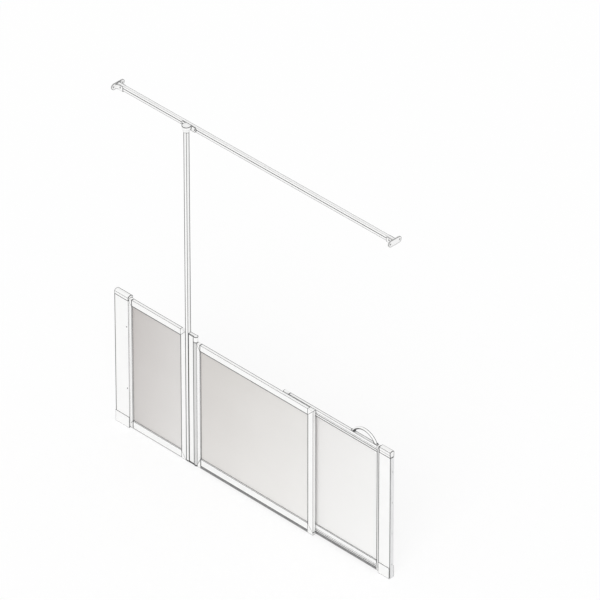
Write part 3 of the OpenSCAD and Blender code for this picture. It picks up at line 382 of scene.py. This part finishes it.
    def white(self, grey_mask, skin, grey_tone=LINE_AND_SHADE_GREY):
        """White surface with faint unevenness, and grey where the mask is: its seams, and the
        painted shade that some masks carry.
        """
        peel, rough_low, rough_high = skin
        drift = self.remap(self.noise(9.0, 3.0), MOST)
        self.set(Base_Color=self.mix(grey_mask, self.mix(drift, WHITE_LOW, WHITE_HIGH), grey_tone))
        self.set(Roughness=self.remap(self.noise(60.0, 4.0), NEARLY_ALL, (rough_low, rough_high)))
        self.bump(self.noise(peel, 2.0), 0.12, 0.1 * MM)
        return self.mat


def white_finish(name, skin):
    """White surface with a grey seam along its edges and joints."""
    s = Shader(name)
    return s.white(s.edges(LINE_RADIUS), skin)


def bar_finish(bar):
    """White coat of one bar, with seams that suit its size, and painted shade on the door's round
    hinge edge and in a strip along the front of some bars.
    """
    s = Shader("coat_" + bar)
    if bar == "door_hinge_stile":
        grey_mask = s.most(s.edges(LINE_RADIUS), s.round_edge_shade())
    else:
        grey_mask = s.most(s.edges(BAR_RADIUS), s.outline(bar, *SEAM_OF_BAR.get(bar, USUAL_SEAM)))
    if bar in SHADE_STRIP_OF:
        grey_mask = s.most(grey_mask, s.strip(bar, *SHADE_STRIP_OF[bar]))
    return s.white(grey_mask, POWDER_SKIN, LINE_AND_SHADE_DARK if bar == "curtain_rail" else LINE_AND_SHADE_GREY)


def thick_finish(moulding):
    """White plastic of a thick moulding, whose seams are broad; some also get painted shade, in a
    strip along the front and on the back slope of a rounded top.
    """
    s = Shader("thick_" + moulding)
    grey_mask = s.edges(THICK_RADIUS, BEND_THICK)
    if moulding in SHADE_STRIP_OF:
        grey_mask = s.most(grey_mask, s.strip(moulding, *SHADE_STRIP_OF[moulding]))
    if moulding in CROWNS:
        grey_mask = s.most(grey_mask, s.crown_back_shade())
    if moulding in RAIL_BRACKETS:
        grey_mask = s.math("MULTIPLY", grey_mask, RAIL_BRACKET_TONE)
    return s.white(grey_mask, MOULDED_SKIN)


def bow_arc(low, high):
    """Height of the centre and radius of the handle's middle line, from the handle's box."""
    half = (high.x - low.x) / 2 - FOOT_OUT
    rise = high.z - low.z - (high.y - low.y) / 2
    radius = (half * half + rise * rise) / (2 * rise)
    return low.z + rise - radius, radius


def bow_finish(name, node):
    """White moulding with painted shade along the inner side of its bow, and grey along its upper
    back.
    """
    s = Shader(name)
    low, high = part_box(node)
    middle = ((low.x + high.x) / 2, 0, bow_arc(low, high)[0])
    flat = s.vector("MULTIPLY", s.place, (1, 0, 1))
    away = s.vector("NORMALIZE", s.vector("SUBTRACT", flat, middle))
    outward = s.vector("DOT_PRODUCT", s.facing, away)
    back = s.split(s.facing)["Y"]
    # painted shade on the inner underside of the bow
    inner = s.remap(outward, (0.26, 0.12))
    upper = s.least(s.remap(outward, (0.55, 0.62)), s.remap(back, (0.02, 0.12)))
    return s.white(s.most(s.edges(LINE_RADIUS), s.most(inner, upper)), BOW_SKIN)


def metal_finish(name, colour, along, roughness):
    """Metal with fine lines drawn along one axis."""
    s = Shader(name)
    scale = Vector((900, 900, 900))
    scale[along] = 25
    stretched = s.add("ShaderNodeMapping", {"Vector": s.place, "Scale": scale})
    grain = s.noise(1.0, 6.0, stretched.outputs["Vector"])
    dark = tuple(c * 0.82 for c in colour[:3]) + (1.0,)
    s.set(Base_Color=s.mix(s.remap(grain, NEARLY_ALL), dark, colour))
    s.set(Metallic=1.0)
    s.set(Roughness=s.remap(grain, NEARLY_ALL, (roughness - 0.08, roughness + 0.08)))
    s.bump(grain, 0.15, 0.05 * MM)
    return s.mat


def rubber_finish(name, low, high, roughness):
    """Matt rubber with a fine extrusion grain."""
    s = Shader(name)
    s.set(Base_Color=s.mix(s.remap(s.noise(35.0, 4.0), MOST), low, high))
    spread = (roughness - 0.07, roughness + 0.07)
    s.set(Roughness=s.remap(s.noise(220.0, 3.0), NEARLY_ALL, spread))
    s.bump(s.noise(1600.0, 3.0), 0.2, 0.08 * MM)
    return s.mat


def frosted_finish(name, node, dark, light):
    """Frosted sheet whose grey fades from its upper left corner to its lower right one."""
    s = Shader(name)
    low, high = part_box(node)
    place = s.split(s.place)
    across = s.remap(place["X"], (low.x, high.x), (0.0, FADE_ACROSS))
    down = s.remap(place["Z"], (high.z, low.z), (0.0, FADE_DOWN))
    cloud = s.remap(s.noise(3.5, 3.0), NEARLY_ALL, (-FADE_UNEVEN, FADE_UNEVEN))
    fade = s.math("ADD", s.math("ADD", across, down), cloud)
    speckle = s.remap(s.noise(700.0, 3.0), MOST)
    body = s.mix(fade, dark, light)
    paler = s.mix(0.5, body, WHITE)
    s.set(Base_Color=s.mix(s.math("MULTIPLY", speckle, SPECKLE), body, paler))
    s.set(Roughness=s.remap(s.noise(900.0, 3.0), NEARLY_ALL, (0.38, 0.55)))
    s.bump(s.noise(900.0, 4.0), 0.25, 0.1 * MM)
    s.set(Transmission_Weight=0.06, IOR=1.49)
    return s.mat


finish_of_slot = {
    "white_powder_coat": white_finish("powder_coat", POWDER_SKIN),
    "white_plastic": white_finish("moulded_plastic", MOULDED_SKIN),
    "sliding_plastic": rubber_finish("sliding_plastic", grey(0.66), grey(0.72), 0.5),
    "aluminium": metal_finish("aluminium", (0.88, 0.885, 0.89, 1), 2, 0.42),
    "steel": metal_finish("steel", (0.13, 0.133, 0.14, 1), 1, 0.34),
    "gasket_rubber": rubber_finish("gasket_rubber", (0.075, 0.075, 0.08, 1),
                                   (0.11, 0.11, 0.115, 1), 0.68),
    "seal_rubber": rubber_finish("seal_rubber", grey(0.2), grey(0.26), 0.62),
    "magnet_strip": rubber_finish("magnet_strip", grey(0.3), grey(0.36), 0.45),
    "dark_plastic": rubber_finish("dark_plastic", (0.035, 0.035, 0.038, 1),
                                  (0.055, 0.055, 0.058, 1), 0.5),
}
THICK_MOULDINGS = RAIL_BRACKETS + CROWNS + ("post_rail_bracket", "top_hinge_bearing")
BARS = ("fixed_left_stile", "fixed_right_stile", "fixed_top_rail", "fixed_bottom_rail",
        "door_hinge_stile", "door_meeting_stile", "door_top_rail", "door_bottom_rail",
        "slider_left_stile", "slider_closing_stile", "slider_top_rail", "slider_bottom_rail",
        "support_post", "curtain_rail", "left_infill_profile", "strike_profile", "hinge_jamb")
# dark and light end of each sheet's fade
GLASS = {
    "fixed_glass": (rgb(194, 189, 186), rgb(229, 227, 225)),
    "door_glass": (rgb(208, 204, 200), rgb(244, 243, 241)),
    "slider_glass": (rgb(231, 229, 227), rgb(251, 251, 250)),
}


def paint(obj, material):
    obj.data.materials.clear()
    obj.data.materials.append(material)
    for face in obj.data.polygons:
        face.material_index = 0


for name, obj in frame["nodes"].items():
    if name in GLASS:
        paint(obj, frosted_finish("frosted_" + name, name, *GLASS[name]))
    elif name in BARS:
        paint(obj, bar_finish(name))
    elif name in THICK_MOULDINGS:
        paint(obj, thick_finish(name))
    else:
        paint(obj, finish_of_slot[slot_of[name]])


# Pieces that replace plain solids
def finish_piece(piece, node):
    """Gives a piece the finish of the node's slot and the node's body, and hides the node."""
    slot = slot_of[node]
    piece.data.materials.clear()
    piece.data.materials.append(finish_of_slot[slot])
    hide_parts(node)
    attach(piece, body_of[node])


def shade_smooth(mesh, sharp_angle):
    for face in mesh.polygons:
        face.use_smooth = True
    mesh.set_sharp_from_angle(angle=math.radians(sharp_angle))


def raw_object(name, bm):
    mesh = bpy.data.meshes.new(name)
    bm.to_mesh(mesh)
    bm.free()
    return new_object(name, mesh)


def make_piece(name, bm, node, sharp_angle):
    """Turns a bmesh into a piece that stands for a node."""
    bmesh.ops.recalc_face_normals(bm, faces=bm.faces[:])
    piece = raw_object(name, bm)
    shade_smooth(piece.data, sharp_angle)
    finish_piece(piece, node)


def skin(bm, rings, closed):
    """Quads between rings of vertices; a closed row of rings joins its last to its first."""
    count = len(rings[0])
    last = len(rings) if closed else len(rings) - 1
    for i in range(last):
        a, b = rings[i], rings[(i + 1) % len(rings)]
        for j in range(count):
            k = (j + 1) % count
            bm.faces.new((a[j], a[k], b[k], b[j]))


def ring_edges(bm, ring):
    return [bm.edges.get((ring[i], ring[(i + 1) % len(ring)])) for i in range(len(ring))]


def cap(bm, ring):
    """Closes a ring of vertices with triangles."""
    bmesh.ops.triangle_fill(bm, edges=ring_edges(bm, ring), use_beauty=True)


def capped_skin(bm, rings):
    skin(bm, rings, False)
    cap(bm, rings[0])
    cap(bm, rings[-1])


# Gaskets: a rubber profile round each sheet, mitred at its corners
GASKET_LIP = 1.2 * MM
GASKET_GRIP = 0.9 * MM
GASKET_FLOOR = 0.1 * MM
GASKET_GAP = 0.03 * MM
# share of the lip's width, and share of the way from its inner side to its outer one
LIP_SHAPE = ((1, 0), (1, 0.3), (0.93, 0.62), (0.76, 0.88), (0.5, 1))
GASKET_SHARP = 50


def gasket(name, node, glass, left, right, low, top):
    """The lip shows inside the four bars, and the rest grips the sheet in their grooves."""
    x0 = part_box(left)[1].x
    x1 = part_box(right)[0].x
    z0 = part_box(low)[1].z
    z1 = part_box(top)[0].z
    g0, g1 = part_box(glass)
    r0, r1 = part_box(node)
    mid_y = (g0.y + g1.y) / 2
    inner = (g1.y - g0.y) / 2 + GASKET_GAP
    outer = (r1.y - r0.y) / 2 - GASKET_GAP
    # each point: distance outwards from the bars, share of the sheet's bite, place across
    half = [(-GASKET_LIP * a, 0, inner + b * (outer - inner)) for a, b in LIP_SHAPE]
    half += [(0, 0, outer), (GASKET_GRIP, 1, outer)]
    profile = half + [(a, b, -v) for a, b, v in reversed(half)]
    profile += [(GASKET_FLOOR, 1, -inner), (GASKET_FLOOR, 1, inner)]
    bites = (x0 - g0.x, g1.x - x1, z0 - g0.z, g1.z - z1)
    bm = bmesh.new()
    rings = []
    for side_x, side_z in ((0, 2), (1, 2), (1, 3), (0, 3)):
        ring = []
        for a, b, v in profile:
            out_x = a + b * bites[side_x]
            out_z = a + b * bites[side_z]
            x = x0 - out_x if side_x == 0 else x1 + out_x
            z = z0 - out_z if side_z == 2 else z1 + out_z
            ring.append(bm.verts.new((x, mid_y + v, z)))
        rings.append(ring)
    skin(bm, rings, True)
    make_piece(name, bm, node, GASKET_SHARP)


gasket("fixed_gasket_profile", "fixed_gasket", "fixed_glass",
       "fixed_left_stile", "fixed_right_stile", "fixed_bottom_rail", "fixed_top_rail")
gasket("door_gasket_profile", "door_gasket", "door_glass",
       "door_hinge_stile", "door_meeting_stile", "door_bottom_rail", "door_top_rail")
gasket("slider_gasket_profile", "slider_gasket", "slider_glass",
       "slider_left_stile", "slider_closing_stile", "slider_bottom_rail", "slider_top_rail")


# Bottom seals: a stem, two outer fins that bend outwards and a bulb between them
SEAL_STEM = 2.8 * MM
SEAL_STEM_TALL = 4.7 * MM
SEAL_STEPS = 48
SEAL_SHARP = 35


def bottom_seal(name, node):
    low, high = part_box(node)
    mid = (low.y + high.y) / 2
    s = (high.y - low.y) / 2
    neck = high.z - SEAL_STEM_TALL
    h = neck - low.z
    side = [(SEAL_STEM, high.z), (SEAL_STEM, neck), (s, neck), (s, neck - h * 0.25),
            (s * 0.97, neck - h * 0.6), (s * 0.99, low.z + h * 0.03), (s * 0.88, low.z),
            (s * 0.8, low.z + h * 0.1), (s * 0.7, neck - h * 0.5), (s * 0.55, neck - h * 0.32),
            (s * 0.42, neck - h * 0.36), (s * 0.33, neck - h * 0.6), (s * 0.2, neck - h * 0.86)]
    outline = [(mid + y, z) for y, z in side] + [(mid - y, z) for y, z in reversed(side)]
    bm = bmesh.new()
    rings = []
    for i in range(SEAL_STEPS + 1):
        x = low.x + (high.x - low.x) * i / SEAL_STEPS
        rings.append([bm.verts.new((x, y, z)) for y, z in outline])
    capped_skin(bm, rings)
    make_piece(name, bm, node, SEAL_SHARP)


bottom_seal("door_bottom_seal_strip", "door_bottom_seal")
bottom_seal("slider_bottom_seal_strip", "slider_bottom_seal")


# Wiper seal: a clipped foot and a thin fin that leans on the sliding sheet
WIPER_SHARP = 30


def wiper_seal(name, node):
    low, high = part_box(node)
    mid = (low.x + high.x) / 2
    half = (high.x - low.x) / 2
    depth = high.y - low.y
    outline = [(mid - half, low.y), (mid + half, low.y), (mid + half, low.y + 0.8 * MM),
               (mid + half * 0.7, low.y + 1.5 * MM), (mid + 1.4 * MM, low.y + 1.9 * MM),
               (mid + 0.9 * MM, low.y + depth * 0.35), (mid + 1.3 * MM, low.y + depth * 0.7),
               (mid + 2.4 * MM, high.y - 0.4 * MM), (mid + 2.1 * MM, high.y),
               (mid + 1.5 * MM, high.y - 0.2 * MM), (mid + 0.4 * MM, low.y + depth * 0.7),
               (mid - 0.1 * MM, low.y + depth * 0.35), (mid - 0.6 * MM, low.y + 1.9 * MM),
               (mid - half * 0.7, low.y + 1.5 * MM), (mid - half, low.y + 0.8 * MM)]
    bm = bmesh.new()
    rings = [[bm.verts.new((x, y, z)) for x, y in outline] for z in (low.z, high.z)]
    capped_skin(bm, rings)
    make_piece(name, bm, node, WIPER_SHARP)


wiper_seal("door_wiper_fin", "door_wiper_seal")


# Screws: a domed head with a cross recess, and a shank
HEAD_RADIUS = 3.3 * MM
HEAD_HEIGHT = 1.6 * MM
# share of the head's radius and of its height, from its rim to its top
HEAD_SHAPE = ((1, 0), (1, 0.35), (0.95, 0.62), (0.84, 0.83), (0.7, 0.95), (0.56, 1))
SHANK_RADIUS = 1.9 * MM
CROSS_ARM = 1.55 * MM
CROSS_HALF = 0.42 * MM
CROSS_DEPTH = 1.0 * MM
CROSS_TAPER = 0.7
SCREW_SIDES = 32
SCREW_SHARP = 30


def add_screw(bm, seat, out, length):
    """seat is the middle of the head's underside, and out points away from the work."""
    turn = out.to_track_quat("Z", "X").to_matrix()

    def point(x, y, z):
        return bm.verts.new(seat + turn @ Vector((x, y, z)))

    def ring(radius, height):
        return [point(radius * math.cos(a), radius * math.sin(a), height)
                for a in (2 * math.pi * i / SCREW_SIDES for i in range(SCREW_SIDES))]

    rings = [ring(SHANK_RADIUS, -length), ring(SHANK_RADIUS, 0)]
    rings += [ring(HEAD_RADIUS * r, HEAD_HEIGHT * h) for r, h in HEAD_SHAPE]
    skin(bm, rings, False)
    cap(bm, rings[0])
    a, b = CROSS_ARM, CROSS_HALF
    plus = [(a, -b), (a, b), (b, b), (b, a), (-b, a), (-b, b), (-a, b), (-a, -b),
            (-b, -b), (-b, -a), (b, -a), (b, -b)]
    brim, pit = ([point(x * k, y * k, z) for x, y in plus]
                 for z, k in ((HEAD_HEIGHT, 1.0), (HEAD_HEIGHT - CROSS_DEPTH, CROSS_TAPER)))
    skin(bm, [brim, pit], False)
    cap(bm, pit)
    top_edges = ring_edges(bm, rings[-1]) + ring_edges(bm, brim)
    bmesh.ops.triangle_fill(bm, edges=top_edges, use_beauty=True)


def screws(name, node, out, along, count):
    """Screws in a row along one axis, with their heads on the out side of the node's box."""
    low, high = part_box(node)
    out = Vector(out)
    facing = max(range(3), key=lambda k: abs(out[k]))
    mid = (low + high) / 2
    length = high[facing] - low[facing] - HEAD_HEIGHT
    start, end = low[along] + HEAD_RADIUS, high[along] - HEAD_RADIUS
    outer_side = high[facing] if out[facing] > 0 else low[facing]
    bm = bmesh.new()
    for i in range(count):
        seat = mid.copy()
        seat[along] = start + (end - start) * i / (count - 1)
        seat[facing] = outer_side - out[facing] * HEAD_HEIGHT
        add_screw(bm, seat, out, length)
    make_piece(name, bm, node, SCREW_SHARP)


screws("left_profile_cross_screws", "left_profile_screws", (0, -1, 0), 2, 2)
screws("left_channel_cross_screws", "left_channel_screws", (0, 1, 0), 2, 3)
screws("right_channel_cross_screws", "right_channel_screws", (0, 1, 0), 2, 3)
screws("post_bracket_cross_screws", "post_bracket_screws", (0, -1, 0), 0, 2)
screws("handle_cross_screws", "handle_screws", (0, 0, 1), 0, 2)


# Handle: a round bar bent to an arc, moulded in one with its two feet
FOOT_LENGTH = 25 * MM
FOOT_THICK = 4 * MM
FOOT_STEPS = 16
FOOT_SCREW_IN = 4.8 * MM
BOW_OVERRUN = 0.05
BOW_STEPS = 64
BOW_SIDES = 32
BOW_SHARP = 50
VOXEL = 0.9 * MM
FILLET_FACTOR = 0.5
FILLET_PASSES = 5
TRIM_MARGIN = 0.02
TRIM_TALL = 0.05
RECESS_RADIUS = HEAD_RADIUS + 0.2 * MM
RECESS_TALL = 0.02
RECESS_SIDES = 40


def apply_modifiers(obj):
    graph = bpy.context.evaluated_depsgraph_get()
    mesh = bpy.data.meshes.new_from_object(obj.evaluated_get(graph))
    obj.modifiers.clear()
    old = obj.data
    obj.data = mesh
    bpy.data.meshes.remove(old)


def combine(target, tool, operation):
    """Applies a boolean to the target and removes the tool."""
    modifier = target.modifiers.new("combine", "BOOLEAN")
    modifier.operation = operation
    modifier.solver = "EXACT"
    modifier.object = tool
    apply_modifiers(target)
    mesh = tool.data
    bpy.data.objects.remove(tool)
    bpy.data.meshes.remove(mesh)


def raw_solid(name, rings, bm):
    capped_skin(bm, rings)
    bmesh.ops.recalc_face_normals(bm, faces=bm.faces[:])
    return raw_object(name, bm)


def handle_bow(low, high):
    """The bent bar, which runs on a little at both ends, into the feet."""
    centre_z, bend = bow_arc(low, high)
    mid_x = (low.x + high.x) / 2
    mid_y = (low.y + high.y) / 2
    radius = (high.y - low.y) / 2
    reach = math.asin((mid_x - low.x - FOOT_OUT) / bend) + BOW_OVERRUN
    across = Vector((0, 1, 0))
    bm = bmesh.new()
    rings = []
    for i in range(BOW_STEPS + 1):
        a = -reach + 2 * reach * i / BOW_STEPS
        mid = Vector((mid_x + bend * math.sin(a), mid_y, centre_z + bend * math.cos(a)))
        away = Vector((math.sin(a), 0, math.cos(a)))
        rings.append([bm.verts.new(mid + radius * (math.cos(b) * away + math.sin(b) * across))
                      for b in (2 * math.pi * k / BOW_SIDES for k in range(BOW_SIDES))])
    return raw_solid("handle_bar_raw", rings, bm)


def handle_foot(low, high, end, way):
    """A flat foot, round at its outer end; way is 1 or -1, towards the other foot."""
    mid_y = (low.y + high.y) / 2
    radius = (high.y - low.y) / 2
    outline = []
    for k in range(FOOT_STEPS + 1):
        a = math.pi / 2 + math.pi * k / FOOT_STEPS
        outline.append((end + way * (radius + radius * math.cos(a)), mid_y + radius * math.sin(a)))
    inner_end = end + way * FOOT_LENGTH
    outline += [(inner_end, mid_y - radius), (inner_end, mid_y + radius)]
    bm = bmesh.new()
    rings = [[bm.verts.new((x, y, z)) for x, y in outline] for z in (low.z, low.z + FOOT_THICK)]
    return raw_solid("handle_foot_raw", rings, bm)


def trim_below(bar, low, high):
    """Cuts off what hangs below the feet."""
    start = Vector((low.x - TRIM_MARGIN, low.y - TRIM_MARGIN, low.z - TRIM_TALL))
    size = Vector((high.x + TRIM_MARGIN, high.y + TRIM_MARGIN, low.z)) - start
    bm = bmesh.new()
    bmesh.ops.create_cube(bm, size=1.0, matrix=Matrix.Translation(start + size / 2)
                          @ Matrix.Diagonal((size.x, size.y, size.z, 1.0)))
    combine(bar, raw_object("handle_trim_raw", bm), "DIFFERENCE")


def round_joins(bar):
    """Remakes the mesh evenly and rounds the joins of the bow and its feet."""
    remesh = bar.modifiers.new("even", "REMESH")
    remesh.mode = "VOXEL"
    remesh.voxel_size = VOXEL
    settle = bar.modifiers.new("fillet", "SMOOTH")
    settle.factor = FILLET_FACTOR
    settle.iterations = FILLET_PASSES
    apply_modifiers(bar)


def sink_screw(bar, x, y, seat_z):
    """Cuts the recess of one screw head."""
    bm = bmesh.new()
    place = Matrix.Translation((x, y, seat_z + RECESS_TALL / 2))
    bmesh.ops.create_cone(bm, cap_ends=True, segments=RECESS_SIDES, radius1=RECESS_RADIUS,
                          radius2=RECESS_RADIUS, depth=RECESS_TALL, matrix=place)
    combine(bar, raw_object("handle_recess_raw", bm), "DIFFERENCE")


def handle(name, node):
    low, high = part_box(node)
    ends = ((low.x, 1), (high.x, -1))
    bar = handle_bow(low, high)
    for foot in [handle_foot(low, high, end, way) for end, way in ends]:
        combine(bar, foot, "UNION")
    trim_below(bar, low, high)
    round_joins(bar)
    for end, way in ends:
        seat_z = low.z + FOOT_THICK - HEAD_HEIGHT
        sink_screw(bar, end + way * FOOT_SCREW_IN, (low.y + high.y) / 2, seat_z)
    for vertex in bar.data.vertices:
        for k in range(3):
            vertex.co[k] = min(max(vertex.co[k], low[k]), high[k])
    bar.name = name
    bar.data.name = name
    shade_smooth(bar.data, BOW_SHARP)
    finish_piece(bar, node)
    paint(bar, bow_finish("bow_plastic", node))


handle("slider_bow_handle", "slider_handle")
